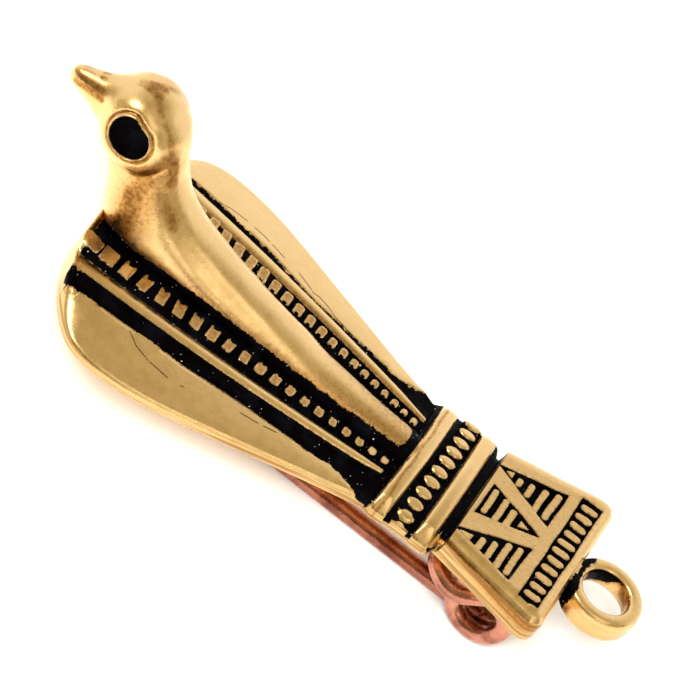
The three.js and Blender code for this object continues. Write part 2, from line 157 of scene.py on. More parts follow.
def link_object(name, data):
    obj = bpy.data.objects.new(name, data)
    bpy.context.scene.collection.objects.link(obj)
    return obj


@contextmanager
def editing(obj):
    """Opens an object's mesh to bmesh and writes it back."""
    bm = bmesh.new()
    bm.from_mesh(obj.data)
    yield bm
    bm.to_mesh(obj.data)
    bm.free()


def fix_normals(obj):
    with editing(obj) as bm:
        bmesh.ops.recalc_face_normals(bm, faces=bm.faces)


def mesh_object(name, verts, faces):
    """A mesh from points in the casting frame, with its normals turned outwards."""
    mesh = bpy.data.meshes.new(name)
    mesh.from_pydata([tuple(v) for v in place(verts)], [], [tuple(int(k) for k in f) for f in faces])
    mesh.validate()
    obj = link_object(name, mesh)
    fix_normals(obj)
    return obj


def skin(rows, sides, closed=False):
    """Faces from each row of points to the next; closed joins the last row to the first."""
    faces = []
    for r in range(rows if closed else rows - 1):
        here, there = r * sides, (r + 1) % rows * sides
        for k in range(sides):
            after = (k + 1) % sides
            faces.append((here + k, here + after, there + after, there + k))
    return faces


def loft(name, rings):
    """A skin over rings of equal length; each end is closed by a fan round its middle."""
    rings = np.asarray(rings)
    count, sides = rings.shape[:2]
    verts = rings.reshape(-1, 3).tolist()
    faces = skin(count, sides)
    for r in (0, count - 1):
        middle = len(verts)
        verts.append(rings[r].mean(axis=0).tolist())
        faces += [(middle, r * sides + k, r * sides + (k + 1) % sides) for k in range(sides)]
    return mesh_object(name, verts, faces)


def bake(obj):
    """Applies the object's modifiers to its mesh."""
    graph = bpy.context.evaluated_depsgraph_get()
    mesh = bpy.data.meshes.new_from_object(obj.evaluated_get(graph))
    obj.modifiers.clear()
    obj.data = mesh


def combine(base, other, operation):
    """Joins or cuts with the manifold solver and removes the second object."""
    mod = base.modifiers.new("combine", "BOOLEAN")
    mod.operation = operation
    mod.solver = "MANIFOLD"
    mod.object = other
    bake(base)
    bpy.data.objects.remove(other)
    return base


def vectors(items, name):
    """The named vector of every item, as rows."""
    flat = np.empty(len(items) * 3)
    items.foreach_get(name, flat)
    return flat.reshape(-1, 3)


def polygon_inside(x, y, corners):
    """Distance inside a convex outline given anticlockwise, negative outside."""
    near = np.full(np.shape(x), 1e9)
    for (x0, y0), (x1, y1) in zip(corners, corners[1:] + corners[:1]):
        length = math.hypot(x1 - x0, y1 - y0)
        near = np.minimum(near, ((x1 - x0) * (y - y0) - (y1 - y0) * (x - x0)) / length)
    return near


# ---- plan of the casting ----
WING_KNOTS = [(WING_FRONT_X, 4.4), (-19.5, 5.6), (-18.95, 7.4), (-18.2, 9.0), (-16.9, 10.75), (-15.4, 11.85),
              (-12.9, 12.2), (-8.7, 11.5), (-2.2, 9.35), (2.9, 7.6), (WING_END_X, 6.2)]
WING_OUTLINE = catmull(WING_KNOTS, 260)


def wing_half(x):
    return np.interp(x, WING_OUTLINE[:, 0], WING_OUTLINE[:, 1])


def tail_half(x):
    return follow(x, [(TAIL_START_X, 5.6), (15.0, 6.1), (17.0, 6.5), (19.0, 6.97), (20.6, 7.35),
                      (21.2, 7.35), (21.6, 7.15), (21.85, 6.9), (TAIL_END_X, 6.5)])


def collar_half(x):
    """The rings stand a little prouder at the sides than the bead channel."""
    ringed = sum(window(x, start, end, 0.2) for start, end in (RING1, RING2))
    return COLLAR_HALF - RING_PROUD + RING_PROUD * ringed


def lean(x):
    """How far the collar and tail sit towards the bird's right wing."""
    return follow(x, [(7.0, 0.0), (9.0, 0.15), (13.0, 0.3), (20.0, 0.45), (RING_X, RING_Y)])


def plan_half(x):
    x = np.asarray(x, dtype=float)
    half = mix(wing_half(x), collar_half(x), rise(x, WING_END_X, 0.3))
    return mix(half, tail_half(x), rise(x, 12.8, 0.4))


def ridge_half(x):
    return 1.65 + 0.0662 * (6.6 - x)


def bead_row(x):
    return 2.5 + 0.1025 * (6.4 - x)


def bead_top(x):
    return 1.7 + 0.0565 * (6.4 - x)


def fillet_top(x):
    return 1.7 + 0.0344 * (6.7 - x)


def fillet_reach(x):
    """Half the polished width of the bar between the bead row and the hollow."""
    return (0.4 + 0.01 * (6.7 - x)) * (1 - 0.35 * smooth((x - 4.3) / 3.0))


def fillet_row(x):
    t = (6.7 - x) / 24.7
    return 3.5 + 3.0 * t + 1.64 * t * (1 - t)


HOLLOW = [(-19.7, 8.6), (-17, 8.2), (-14, 8.0), (-11.5, 7.65), (-8.7, 7.45), (-6, 6.9), (-4, 6.5), (-1, 6.25),
          (2.8, 5.95), (3.5, 5.65), (4.5, 5.75), (5.5, 6.0), (6.5, 6.5), (7.2, 6.8)]


def hollow_edge(x):
    return follow(x, HOLLOW)


def wing_top(x):
    return follow(x, [(WING_FRONT_X, 1.9), (-11, 1.7), (-4, 1.3), (WING_END_X, 1.0)])


# ---- the two rows of beads ----
# Half-lengths along and across the row, by order from the front: the first are the largest.
BEAD_ALONG = [(0, 0.75), (1, 0.6), (2, 0.48), (3, 0.42), (4, 0.44), (5, 0.44), (6, 0.42), (15, 0.33),
              (16, 0.31)]
BEAD_ACROSS = [(0, 1.05), (1, 0.88), (2, 0.84), (3, 0.78), (6, 0.72), (9, 0.6), (13, 0.48), (14, 0.46),
               (16, 0.4)]
BEAD_CORNER = [(0, 0.3), (6, 0.35), (12, 0.7), (19, 0.95)]
NEAR_COUNT, FAR_COUNT = 20, 23

# bite is the radius of the hollow in a bead's inner side, inset how far in its middle lies.
Bead = namedtuple("Bead", "side x y along across corner turn bite inset")


def bead_x(side, k, count):
    """Where the k-th bead from the collar sits; the two rows are spaced a little unlike."""
    if side > 0:
        return 6.63 - 0.9 * k - 0.0102 * k * k
    t = k / (count - 1)
    return 6.53 - 25.44 * (0.8 * t + 0.2 * t * t)


def bead_list():
    rng = np.random.RandomState(11)
    beads = []
    for side, count in ((-1, NEAR_COUNT), (1, FAR_COUNT)):
        for k in range(count):
            x = bead_x(side, k, count)
            order = (count - 1 - k) * (NEAR_COUNT - 1) / (count - 1)
            along = follow(order, BEAD_ALONG) * rng.uniform(0.93, 1.07)
            across = follow(order, BEAD_ACROSS) * rng.uniform(0.94, 1.06)
            corner = along * follow(order, BEAD_CORNER)
            bite = along * (0.55 if 2 <= order <= 8.5 else rng.uniform(0.2, 0.5))
            inset = 0.0
            if order < 2:
                bite = 0.0
            if side > 0:
                along, bite, inset = along * 0.92, 0.42 * along, 0.13
            turn = rng.uniform(-0.14, 0.14)
            beads.append(Bead(side, x, bead_row(x), along, across, corner, turn, bite, inset))
    beads.append(Bead(-1, 6.21, 1.62, 0.26, 0.24, 0.2, 0.0, 0.0, 0.0))
    return beads


BEADS = bead_list()


def from_front(x, a):
    """Distance back from the wings' front edge, along x."""
    widening = WING_OUTLINE[:140]
    return x - np.interp(a, widening[:, 1], widening[:, 0])


def bead_shape(x, a, side):
    """How far inside the nearest wing bead's outline a point lies, in millimetres; the
    first bead runs into the wing's front edge."""
    inside = np.full(np.shape(x), -9.0)
    for bead in BEADS:
        near = (side == bead.side) & (np.abs(x - bead.x) < 1.4) & (np.abs(a - bead.y) < 1.7)
        if not near.any():
            continue
        dx, dy = x[near] - bead.x, a[near] - bead.y
        u = dx * math.cos(bead.turn) + dy * math.sin(bead.turn)
        v = dy * math.cos(bead.turn) - dx * math.sin(bead.turn)
        qx, qy = np.abs(u) - bead.along + bead.corner, np.abs(v) - bead.across + bead.corner
        out = np.hypot(np.maximum(qx, 0), np.maximum(qy, 0)) + np.minimum(np.maximum(qx, qy), 0)
        here = np.minimum(bead.corner - out, np.hypot(u, v + bead.across - bead.inset) - bead.bite)
        inside[near] = np.maximum(inside[near], here)
    front = from_front(x, a)
    inside = np.maximum(inside, 0.12 - front)
    gap = 0.02 + 0.38 * smooth(front / 0.7) - 0.2 * smooth((x + 18.2) / 0.6)
    return np.minimum(inside, fillet_row(x) - fillet_reach(x) - gap - a)


# ---- height of the casting's top ----
WALL = 0.14


def wing_height(x, a, side):
    fy, half = fillet_row(x), fillet_reach(x)
    floor = bead_top(x) - 0.45
    z = floor + 0.1 * smooth((ridge_half(x) + 0.3 - a) / 0.5)
    z = mix(z, bead_top(x), smooth(bead_shape(x, a, side) / WALL + 1.0))
    end = np.where(side < 0, 6.95, 8.05)
    across = np.clip(np.abs(a - fy) / half, 0, 1)
    bar = fillet_top(x) - 0.13 * across ** 2
    z = mix(z, bar, rise(a, fy - half - WALL / 2, WALL) * (1 - rise(x, end, 0.3)))
    lip = mix(bead_top(x), fillet_top(x), smooth((a - 4.8) / 1.3))
    z = mix(lip, z, rise(from_front(x, a), 0.3, 0.5))
    start = fy + half
    hollow = hollow_edge(x)
    t = np.clip((a - start) / (hollow - start), 0, 1)
    channel = mix(fillet_top(x) - 0.6, wing_top(x) - 0.02, t ** 1.4) - 0.7 * t * (1 - t)
    plane = np.clip((a - hollow) / (wing_half(x) - hollow + 1e-6), 0, 1)
    wing = mix(wing_top(x), WING_EDGE, plane) + 0.3 * plane * (1 - plane)
    outer = np.where(a < hollow, channel, wing)
    return mix(z, outer, rise(a, start + WALL / 2, WALL))


def arch(a, half, top):
    t = np.clip(a / half, 0, 1)
    return COLLAR_SIDE_Z + (top - COLLAR_SIDE_Z) * (1 - t * t) ** ARCH_FULLNESS


COLLAR_BEAD_FIRST, COLLAR_BEAD_LAST, COLLAR_BEAD_PITCH = -4, 5, 1.29
COLLAR_BEAD_X, COLLAR_BEAD_Y = 10.12, -0.33
COLLAR_BEAD_LONG, COLLAR_BEAD_HALF = 0.68, 0.47


def collar_bead(x, y):
    """Distance inside the nearest oval bead of the collar, in millimetres."""
    k = np.round((y - COLLAR_BEAD_Y) / COLLAR_BEAD_PITCH)
    dy = y - COLLAR_BEAD_Y - np.clip(k, COLLAR_BEAD_FIRST, COLLAR_BEAD_LAST) * COLLAR_BEAD_PITCH
    dx = x - COLLAR_BEAD_X - 0.03 * y
    return COLLAR_BEAD_HALF * (1 - np.hypot(dx / COLLAR_BEAD_LONG, dy / COLLAR_BEAD_HALF))


def collar_bow(x, y):
    """x with the slight lean and bow of the first ring taken out."""
    return x - (0.02 * y + 0.1 * (1 - (y / COLLAR_HALF) ** 2)) * (x < 9.8)


def collar_height(x, y):
    a = np.abs(y - lean(x))
    half = plan_half(x)
    ground = arch(a, half, COLLAR_GROUND_Z)
    z = ground
    bowed = collar_bow(x, y)
    for ends in (RING1, RING2):
        middle, reach = (ends[0] + ends[1]) / 2, (ends[1] - ends[0]) / 2
        crown = np.clip(1 - ((bowed - middle) / reach) ** 2, 0, 1) ** 0.5
        proud = arch(a, half, 2.08) + 0.36 * crown * smooth((half - a) / 1.2)
        near = (bowed > ends[0] - 0.1) & (bowed < ends[1] + 0.1)
        z = np.where(near, mix(z, proud, window(bowed, ends[0] + 0.03, ends[1] - 0.03, 0.16)), z)
    bead = collar_bead(x, y)
    raised = ground + 0.42 * smooth(bead / 0.14 + 1.0) - 0.1 * (1 - smooth(bead / 0.16))
    return np.where(bead > -0.15, np.maximum(z, raised), z)


# Carved triangles of the tail plate: corners anticlockwise in plan, then each bar left
# standing in them: x at its middle, half-width, and the y where it starts and ends.
TRIANGLES = [
    ([(12.96, -3.95), (18.3, -5.21), (18.5, -1.15)],
     [(15.25, 0.24, -4.62, -3.22), (16.13, 0.25, -4.72, -2.85),
      (17.0, 0.26, -4.95, -2.12), (17.84, 0.26, -5.0, -1.8)]),
    ([(18.52, 0.19), (13.73, 2.0), (13.65, -1.69)],
     [(14.15, 0.23, -1.28, 1.65), (15.15, 0.26, -1.32, 1.42), (16.0, 0.26, -0.99, 0.93)]),
    ([(13.19, 3.8), (18.48, 1.51), (18.52, 5.55)],
     [(15.1, 0.23, 3.08, 3.97), (16.02, 0.25, 2.72, 4.25),
      (17.05, 0.26, 2.01, 4.65), (17.97, 0.26, 1.91, 5.06)]),
]
# Small wedges left standing at the triangles' tips: tip x, blunt end x, y of their middle.
WEDGES = [(13.55, 14.57, -3.98), (17.5, 16.71, 0.12), (13.95, 14.5, 3.72)]
CHANNEL_X, CHANNEL_ENDS = (19.4, 21.1), (-5.85, 6.3)
TAIL_BARS, TAIL_BAR_PITCH, TAIL_BAR_Y = 11, 1.057, 0.18
TAIL_BAR_X, TAIL_BAR_HALF = (19.72, 20.85), 0.33


def tail_top(x):
    return 2.25 + 0.35 * (x - TAIL_START_X) / 9.1


def capsule(x, y, bar_x, half, low, high):
    """Distance inside a bar with rounded ends."""
    past = np.maximum(np.maximum(low + half - y, y - high + half), 0)
    return half - np.hypot(x - bar_x, past)


def carving(x, y):
    """Distance inside the tail's black carved ground, negative on the polished parts."""
    hand = np.stack([x, y, np.zeros_like(x)], axis=-1)
    u = x + ripple(hand, 0.035, 2.2, 21)
    v = y + ripple(hand, 0.035, 2.6, 22)
    ground = np.full(np.shape(x), -9.0)
    for corners, bars in TRIANGLES:
        inside = polygon_inside(u, v, corners)
        for bar_x, half, low, high in bars:
            inside = np.minimum(inside, -capsule(u, v, bar_x, half, low, high))
        ground = np.maximum(ground, inside)
    for tip, blunt, middle in WEDGES:
        share = np.clip((u - tip) / (blunt - tip), 0, 1)
        way = np.sign(blunt - tip)
        past = np.maximum((u - blunt) * way, (tip - u) * way)
        wedge = np.minimum(0.06 + 0.3 * share - np.abs(v - middle), -past)
        ground = np.where(wedge > -0.12, np.minimum(ground, -wedge), ground)
    channel_middle, channel_half = sum(CHANNEL_X) / 2, (CHANNEL_X[1] - CHANNEL_X[0]) / 2
    channel = np.minimum(channel_half - np.abs(u - channel_middle),
                         np.minimum(v - CHANNEL_ENDS[0], CHANNEL_ENDS[1] - v))
    k = np.clip(np.round((v - TAIL_BAR_Y) / TAIL_BAR_PITCH), -(TAIL_BARS // 2), TAIL_BARS // 2)
    bar_middle, bar_reach = sum(TAIL_BAR_X) / 2, (TAIL_BAR_X[1] - TAIL_BAR_X[0]) / 2
    past = np.maximum(np.abs(u - bar_middle) - bar_reach + TAIL_BAR_HALF * 0.6, 0)
    bar = TAIL_BAR_HALF - np.hypot(past, v - TAIL_BAR_Y - k * TAIL_BAR_PITCH)
    return np.maximum(ground, np.minimum(channel, -bar))


def tail_height(x, y):
    return tail_top(x) - CARVING_DEPTH * smooth(carving(x, y) / 0.17)


def top_height(x, y):
    side = np.where(y < 0, -1, 1)
    z = mix(wing_height(x, np.abs(y), side), collar_height(x, y), rise(x, 7.4, 0.3))
    return mix(z, tail_height(x, y), rise(x, GROOVE_END_X, 0.16))


# ---- the flat casting: wings, collar and tail plate ----
def outline_distance(x, y):
    """Distance in from the plan's outline."""
    xs = np.concatenate([[WING_FRONT_X], np.linspace(WING_FRONT_X, TAIL_END_X, 900), [TAIL_END_X]])
    ys = np.concatenate([[0.0], plan_half(xs[1:-1]), [0.0]])
    a = np.abs(y)
    near = np.full(np.shape(x), 1e9)
    reach = 1.3
    for k in range(len(xs) - 1):
        maybe = (x > xs[k] - reach) & (x < xs[k + 1] + reach)
        if not maybe.any():
            continue
        px, py = x[maybe] - xs[k], a[maybe] - ys[k]
        ex, ey = xs[k + 1] - xs[k], ys[k + 1] - ys[k]
        t = np.clip((px * ex + py * ey) / (ex * ex + ey * ey + 1e-12), 0, 1)
        near[maybe] = np.minimum(near[maybe], np.hypot(px - t * ex, py - t * ey))
    return near


def round_over(d, radius):
    inner = np.clip(radius - d, 0, radius)
    return radius - np.sqrt(np.maximum(radius * radius - inner * inner, 0))


def edge_drop(x, d):
    """How far the top falls towards the plan's outline."""
    wing = round_over(d, mix(0.08, 0.26, smooth((x - WING_FRONT_X) / 1.6)))
    collar = round_over(d, 0.3)
    shoulder = round_over(d, 0.55) + 0.16 * smooth((0.9 - d) / 0.5) + 0.1 * smooth((0.3 - d) / 0.12)
    drop = mix(wing, collar, rise(x, WING_END_X, 0.3))
    return mix(drop, shoulder, rise(x, TAIL_START_X, 0.3))


def station_list():
    """Rows across the casting, close together where the relief needs it."""
    front = WING_FRONT_X + np.array([0, 0.03, 0.08, 0.15, 0.24, 0.34])
    wings = np.arange(WING_FRONT_X + 0.44, 6.8, 0.105)
    collar = np.arange(6.86, 13.1, 0.09)
    tail = np.arange(13.15, TAIL_END_X - 0.5, 0.085)
    end = TAIL_END_X - np.array([0.48, 0.4, 0.32, 0.25, 0.18, 0.12, 0.07, 0.03, 0])
    return np.concatenate([front, wings, collar, tail, end])


FOOT_ROUND = 0.3
RIM_STEPS = np.array([0, 0.02, 0.05, 0.1, 0.16, 0.24, 0.33, 0.45, 0.6, 0.8, 1.1])


def row_columns(x):
    """y of one row's points from the middle to the rim, following the wing's features."""
    half = float(plan_half(x))
    slope = float(plan_half(x + 0.02) - plan_half(x - 0.02)) / 0.04
    stretch = min(math.hypot(1, slope), 2.2)
    squeeze = 0.35 + 0.65 * float(smooth((x - WING_FRONT_X) / 2.5))
    rim = half - RIM_STEPS[::-1] * stretch * squeeze
    inner = rim[0]
    reach = 0.12 + float(fillet_reach(x))
    wide = float(np.interp(x, [-19, -17, 6], [1.2, 0.9, 0.5]))
    marks = [0.0, ridge_half(x) - 0.3, bead_row(x) - wide, bead_row(x) + wide,
             fillet_row(x) - reach, fillet_row(x) + reach, hollow_edge(x), 99.0]
    share = [0, 3, 7, 22, 26, 38, 46, 54]
    marks = np.array([min(m, inner * (0.9 + 0.0125 * k)) for k, m in enumerate(marks)])
    marks[-1] = inner
    followed = np.interp(np.arange(share[-1]), share, marks)
    even = np.linspace(0, inner, share[-1] + 1)[:-1]
    t = float(rise(np.array(x), 7.0, 0.5))
    return np.concatenate([mix(followed, even, t), rim])


def flat_casting():
    stations = station_list()
    half_rows = np.array([row_columns(x) for x in stations])
    ys = np.concatenate([-half_rows[:, :0:-1], half_rows], axis=1)
    xs = np.repeat(stations[:, None], ys.shape[1], axis=1)
    d = outline_distance(xs.ravel(), ys.ravel()).reshape(xs.shape)
    d = np.minimum(d, np.minimum(xs - WING_FRONT_X, TAIL_END_X - xs))
    ys = ys + lean(xs)
    z = np.maximum(top_height(xs, ys) - edge_drop(xs, d), FOOT_ROUND + 0.02)
    top = np.stack([xs, ys, z], axis=-1)
    last = ys.shape[1]
    keep = np.r_[0:6, 8, 10, 11:last - 11:14, last - 11, last - 9, last - 6:last]
    under = np.stack([xs[:, keep], ys[:, keep], round_over(d[:, keep], FOOT_ROUND)], axis=-1)
    return sheet_pair("flat_casting", top, under, keep)


def sheet_pair(name, top, under, keep):
    """Closes a fine upper sheet and a coarser lower one that shares some of its columns."""
    rows, wide = top.shape[:2]
    few = under.shape[1]
    verts = np.concatenate([top.reshape(-1, 3), under.reshape(-1, 3)])
    base = rows * wide
    faces = []
    for r in range(rows - 1):
        a = r * wide
        faces.extend((a + k, a + wide + k, a + wide + k + 1, a + k + 1) for k in range(wide - 1))
        b = base + r * few
        faces.extend((b + k, b + k + 1, b + few + k + 1, b + few + k) for k in range(few - 1))
        faces.append((a, b, b + few, a + wide))
        faces.append((a + wide - 1, a + 2 * wide - 1, b + 2 * few - 1, b + few - 1))
    for r, turn in ((0, 1), (rows - 1, -1)):
        for k in range(few - 1):
            upper = [r * wide + c for c in range(keep[k], keep[k + 1] + 1)]
            face = upper + [base + r * few + k + 1, base + r * few + k]
            faces.append(tuple(face[::turn]))
    return mesh_object(name, verts, faces)


# ---- ridge, neck, head and beak ----
# Cross-sections: x and z of the lowest point, x and z of the highest, half-width.
BIRD = [
    (7.9, 0.4, 7.9, 2.5, 1.58),
    (0.6, 0.4, 0.6, 2.85, 2.05),
    (-4.0, 0.4, -4.0, 3.65, 2.35),
    (-9.5, 0.4, -9.0, 4.7, 2.7),
    (-14.5, 0.4, -12.8, 5.85, 3.0),
    (-18.3, 0.5, -15.0, 7.2, 3.2),
    (-19.9, 2.7, -16.4, 8.7, 3.1),
    (-20.85, 4.9, -17.15, 10.1, 2.85),
    (-21.6, 6.3, -17.6, 11.15, 2.85),
    (-22.3, 7.25, -18.4, 12.4, 3.15),
    (-22.85, 7.75, -19.75, 13.38, 3.35),
    (-23.15, 8.1, -21.25, 13.66, 3.2),
    (-23.55, 8.45, -22.6, 13.4, 2.7),
    (-24.15, 8.8, -23.65, 12.72, 2.0),
    (-24.95, 9.1, -24.7, 11.98, 1.4),
    (-25.9, 9.35, -25.8, 11.42, 1.0),
    (-26.7, 9.5, -26.7, 11.08, 0.76),
    (-27.15, 9.75, -27.15, 10.8, 0.48),
    (BEAK_TIP_X, 10.1, BEAK_TIP_X, 10.5, 0.16),
]


def bird_rings():
    low_x, low_z, high_x, high_z, half = catmull(BIRD, 160).T[:, :, None]
    turn = circle(84)
    up = (1 + np.cos(turn)) / 2
    return np.stack([mix(low_x, high_x, up), half * np.sin(turn), mix(low_z, high_z, up)], axis=-1)


EYE_LONG_WAY = np.array([0.82, 0.0, -0.57])


def eye_axis(s):
    """The way an eye faces; s is -1 for the near eye, 1 for the far one."""
    out = EYE * np.array([1, -s, 1]) - HEAD
    return out / np.linalg.norm(out)


def eye_distance(p, s):
    """Distance from an eye's axis, stretched to the socket's outline, and height along it."""
    out = eye_axis(s)
    along = (p - HEAD) @ out
    across = p - HEAD - along[:, None] * out
    long = across @ EYE_LONG_WAY
    short = np.sqrt(np.maximum(np.sum(across * across, axis=1) - long * long, 0))
    away = np.hypot(0.93 * long, 1.08 * short)
    return np.maximum(away, 1.13 * (0.3 * across[:, 0] + across[:, 2])), along


def shape_bird(points):
    """Brows round the eyes, the shoulder bands beside the back, and hand-made unevenness."""
    p = points.reshape(-1, 3).copy()
    side = np.sign(p[:, 1])
    out = p - HEAD
    out /= np.linalg.norm(out, axis=1)[:, None] + 1e-9
    for s in (-1, 1):
        away, along = eye_distance(p, s)
        swell = 0.2 * bell(away, 2.1, 0.7)
        below = smooth((EYE[2] + 0.6 - p[:, 2]) / 1.5)
        behind = smooth((p[:, 0] - EYE[0] + 0.3) / 1.5) * (1 - below)
        crease_at = 3.1 - 0.5 * smooth((p[:, 2] - 10.0) / 2.5)
        crease = -(0.14 * below + 0.09 * behind) * bell(away, crease_at, 0.42)
        p += out * ((swell + crease) * (side == s) * (along > 0))[:, None]
    a = np.abs(p[:, 1])
    span = smooth((p[:, 0] + 18.5) / 2.0) * (1 - smooth((p[:, 0] + 8.0) / 5.0)) * (p[:, 2] > 2.5)
    groove, shoulder = 0.12 * bell(a, 1.83, 0.38), 0.08 * bell(a, 2.5, 0.45)
    p[:, 2] -= span * groove
    p[:, 1] += side * span * shoulder
    p[:, 2] += ripple(p, 0.02, 3.5, 3)
    p[:, 1] += ripple(p, 0.02, 4.0, 4)
    return p.reshape(points.shape)


# The sockets' section: distance from the axis, then height above the head's own surface.
EYE_PROFILE = [(0, -0.85), (0.8, -0.8), (1.2, -0.66), (1.4, -0.4), (1.49, -0.1), (1.55, 0.1), (1.61, 0.14),
               (1.68, 0.05), (1.77, -0.1), (1.88, -0.08), (2.05, 0.0)]


def eye_reach(bm, s):
    """eye_distance for a mesh that is being edited."""
    return eye_distance(np.array([v.co for v in bm.verts]) / MM - SHIFT, s)


def carve_eyes(obj):
    """Sinks the sockets, with their thin raised rims, into a finer patch of the mesh."""
    with editing(obj) as bm:
        for s in (-1, 1):
            away, along = eye_reach(bm, s)
            close = (away < 2.35) & (along > 0.5)
            edges = [e for e in bm.edges if close[e.verts[0].index] and close[e.verts[1].index]]
            bmesh.ops.subdivide_edges(bm, edges=edges, cuts=3, use_grid_fill=True)
            bm.verts.index_update()
            away, along = eye_reach(bm, s)
            out = Vector(eye_axis(s))
            lift = follow(away, EYE_PROFILE) * MM
            for v, r, h, d in zip(bm.verts, away, along, lift):
                if r < 2.15 and h > 0.5:
                    v.co += out * d


def bird():
    body = loft("bird", shape_bird(bird_rings()))
    carve_eyes(body)
    return body


# ---- ring at the tail's end ----
def tail_ring():
    """A rounded square section swept round the hole, undercut on the hole's lower side."""
    middle, wide = (RING_OUTER + RING_HOLE) / 2, (RING_OUTER - RING_HOLE) / 2
    mid_z, tall = (RING_TOP_Z + RING_LOW_Z) / 2, (RING_TOP_Z - RING_LOW_Z) / 2
    squareness, steps, sides = 0.56, 110, 32
    section = circle(sides)
    c, s = np.cos(section), np.sin(section)
    undercut = 0.85 * smooth(-s / 0.8) * (c < 0)
    r = middle + wide * np.sign(c) * np.abs(c) ** squareness * (1 - undercut)
    z = mid_z + tall * np.sign(s) * np.abs(s) ** squareness
    rings = [np.stack([RING_X + r * math.cos(turn), RING_Y + r * math.sin(turn), z], axis=-1)
             for turn in circle(steps)]
    return mesh_object("tail_ring", np.array(rings).reshape(-1, 3), skin(steps, sides, closed=True))


# ---- catch and spring lug ----
def slab(name, outline, axis, start, stop, bevel=0.22):
    """An outline extruded along x or y, with softened edges."""
    verts, count = [], len(outline)
    for t in (start, stop):
        for u, v in outline:
            verts.append((t, u, v) if axis == "x" else (u, t, v))
    faces = [tuple(range(count)), tuple(range(2 * count - 1, count - 1, -1))]
    faces += [(k, k + count, (k + 1) % count + count, (k + 1) % count) for k in range(count)]
    obj = mesh_object(name, verts, faces)
    with editing(obj) as bm:
        bmesh.ops.bevel(bm, geom=bm.edges[:] + bm.verts[:], offset=bevel * MM, segments=3, profile=0.5,
                        affect="EDGES")
    fix_normals(obj)
    return obj


def oblong(left, right, top, bottom):
    return [(left, top), (right, top), (right, bottom), (left, bottom)]


def catch():
    """A toe plate with a web and a grooved gutter behind it, which takes the pin's point."""
    front, wall, back = -15.4, 1.2, -9.6
    buried, y = 0.6, -COIL_INNER_Y
    inside = front + 0.3
    toe_outline = [(-3.7, -FOOT_DROP), (3.7, -FOOT_DROP), (3.7, -4.4), (2.2, buried), (-2.2, buried),
                   (-3.7, -4.4)]
    web_outline = [(inside, buried), (back + 1.6, buried), (back, -3.6), (inside, -3.6)]
    groove_outline = oblong(front + wall, back + 1, NEEDLE_Z + 1.0, -FOOT_DROP - 1)
    toe = slab("toe", toe_outline, "x", front, front + wall)
    web = slab("web", web_outline, "y", y - 0.8, y + 0.8)
    gutter = slab("gutter", oblong(inside, back, -3.4, -FOOT_DROP + 0.01), "y", y - 2.0, y + 2.0)
    groove = slab("groove", groove_outline, "y", y - 1.0, y + 1.0, bevel=0.3)
    whole = combine(toe, web, "UNION")
    whole = combine(whole, gutter, "UNION")
    return combine(whole, groove, "DIFFERENCE")


def spring_lug():
    """The cheek that the spring sits on, and the short axle through its coils."""
    foot = COIL_Z - 1.1
    outline = [(-2.5, 0.6), (2.5, 0.6), (1.2, COIL_Z), (0.7, foot), (-0.7, foot), (-1.2, COIL_Z)]
    cheek = slab("lug", [(COIL_X + u, v) for u, v in outline], "y", -0.7, 0.7)
    turn = circle(40)
    profile = [(0.8, -2.3), (1.0, -2.15), (1.0, 2.15), (0.8, 2.3)]
    rings = [np.stack([COIL_X + r * np.cos(turn), np.full(len(turn), y), COIL_Z - r * np.sin(turn)], axis=-1)
             for r, y in profile]
    return combine(cheek, loft("axle", rings), "UNION")


# ---- patina ----
# How high the black reaches on the ridge's flanks, and the notches filed in the collar's sides.
FLANK = [(-19.5, 2.6), (-18.3, 3.6), (-16.4, 3.4), (-14, 3.42), (-10.5, 3.3), (-8, 3.1), (-5, 2.84),
         (-1, 2.48), (2, 2.32), (6.6, 2.3)]
SIDE_NOTCHES = ((7.2, 0.22), (9.1, 0.24), (10.95, 0.2), (12.8, 0.3))


def band_distance(x, ends):
    """Distance inside a collar ring's width, negative outside."""
    return np.minimum(x - ends[0] - 0.04, ends[1] - 0.04 - x)


# Brown patches on the bird's near side, measured from the photograph and repeated on its
# far side: brown toning on the neck, and painted shade for dark reflections on the neck,
# breast, crown and beak. Each runs from one point to another; then its reach and strength.
STAINS_AND_SHADE = [
    ((-18.59, 2.41, 9.64), (-19.2, 2.7, 9.1), 0.45, 0.75),
    ((-17.65, 1.44, 10.23), (-17.06, 1.49, 8.97), 0.6, 0.6),
    ((-18.5, 2.66, 8.5), (-18.65, 2.91, 7.13), 0.95, 0.55),
    ((-18.65, 2.91, 7.13), (-18.25, 3.09, 6.01), 0.85, 0.85),
    ((-18.25, 3.09, 6.01), (-17.7, 3.0, 3.5), 0.95, 0.7),
    ((-18.3, 2.3, 9.0), (-17.8, 3.0, 5.5), 2.0, 0.35),
    ((-16.3, 2.0, 7.4), (-15.1, 1.95, 6.3), 0.5, 0.4),
    ((-22.3, 0.2, 13.45), (-21.5, 0.4, 13.6), 0.45, 0.58),
    ((-22.94, 0.13, 13.21), (-22.3, 0.2, 13.45), 0.35, 0.3),
    ((-21.5, 0.6, 13.6), (-20.42, 1.66, 13.3), 0.35, 0.34),
    ((-20.42, 1.66, 13.3), (-18.97, 1.84, 12.34), 0.3, 0.28),
    ((-18.97, 1.84, 12.34), (-18.1, 1.8, 10.9), 0.4, 0.36),
    ((-26.6, 0.75, 10.3), (-25.3, 1.15, 10.7), 0.27, 0.6),
    ((-25.3, 1.15, 10.7), (-24.5, 1.49, 11.05), 0.3, 0.65),
    ((-26.5, 0.65, 10.85), (-24.76, 1.2, 11.25), 0.6, 0.42),
    ((-25.3, 0.32, 11.63), (-25.1, 0.35, 11.65), 0.25, 0.5),
]
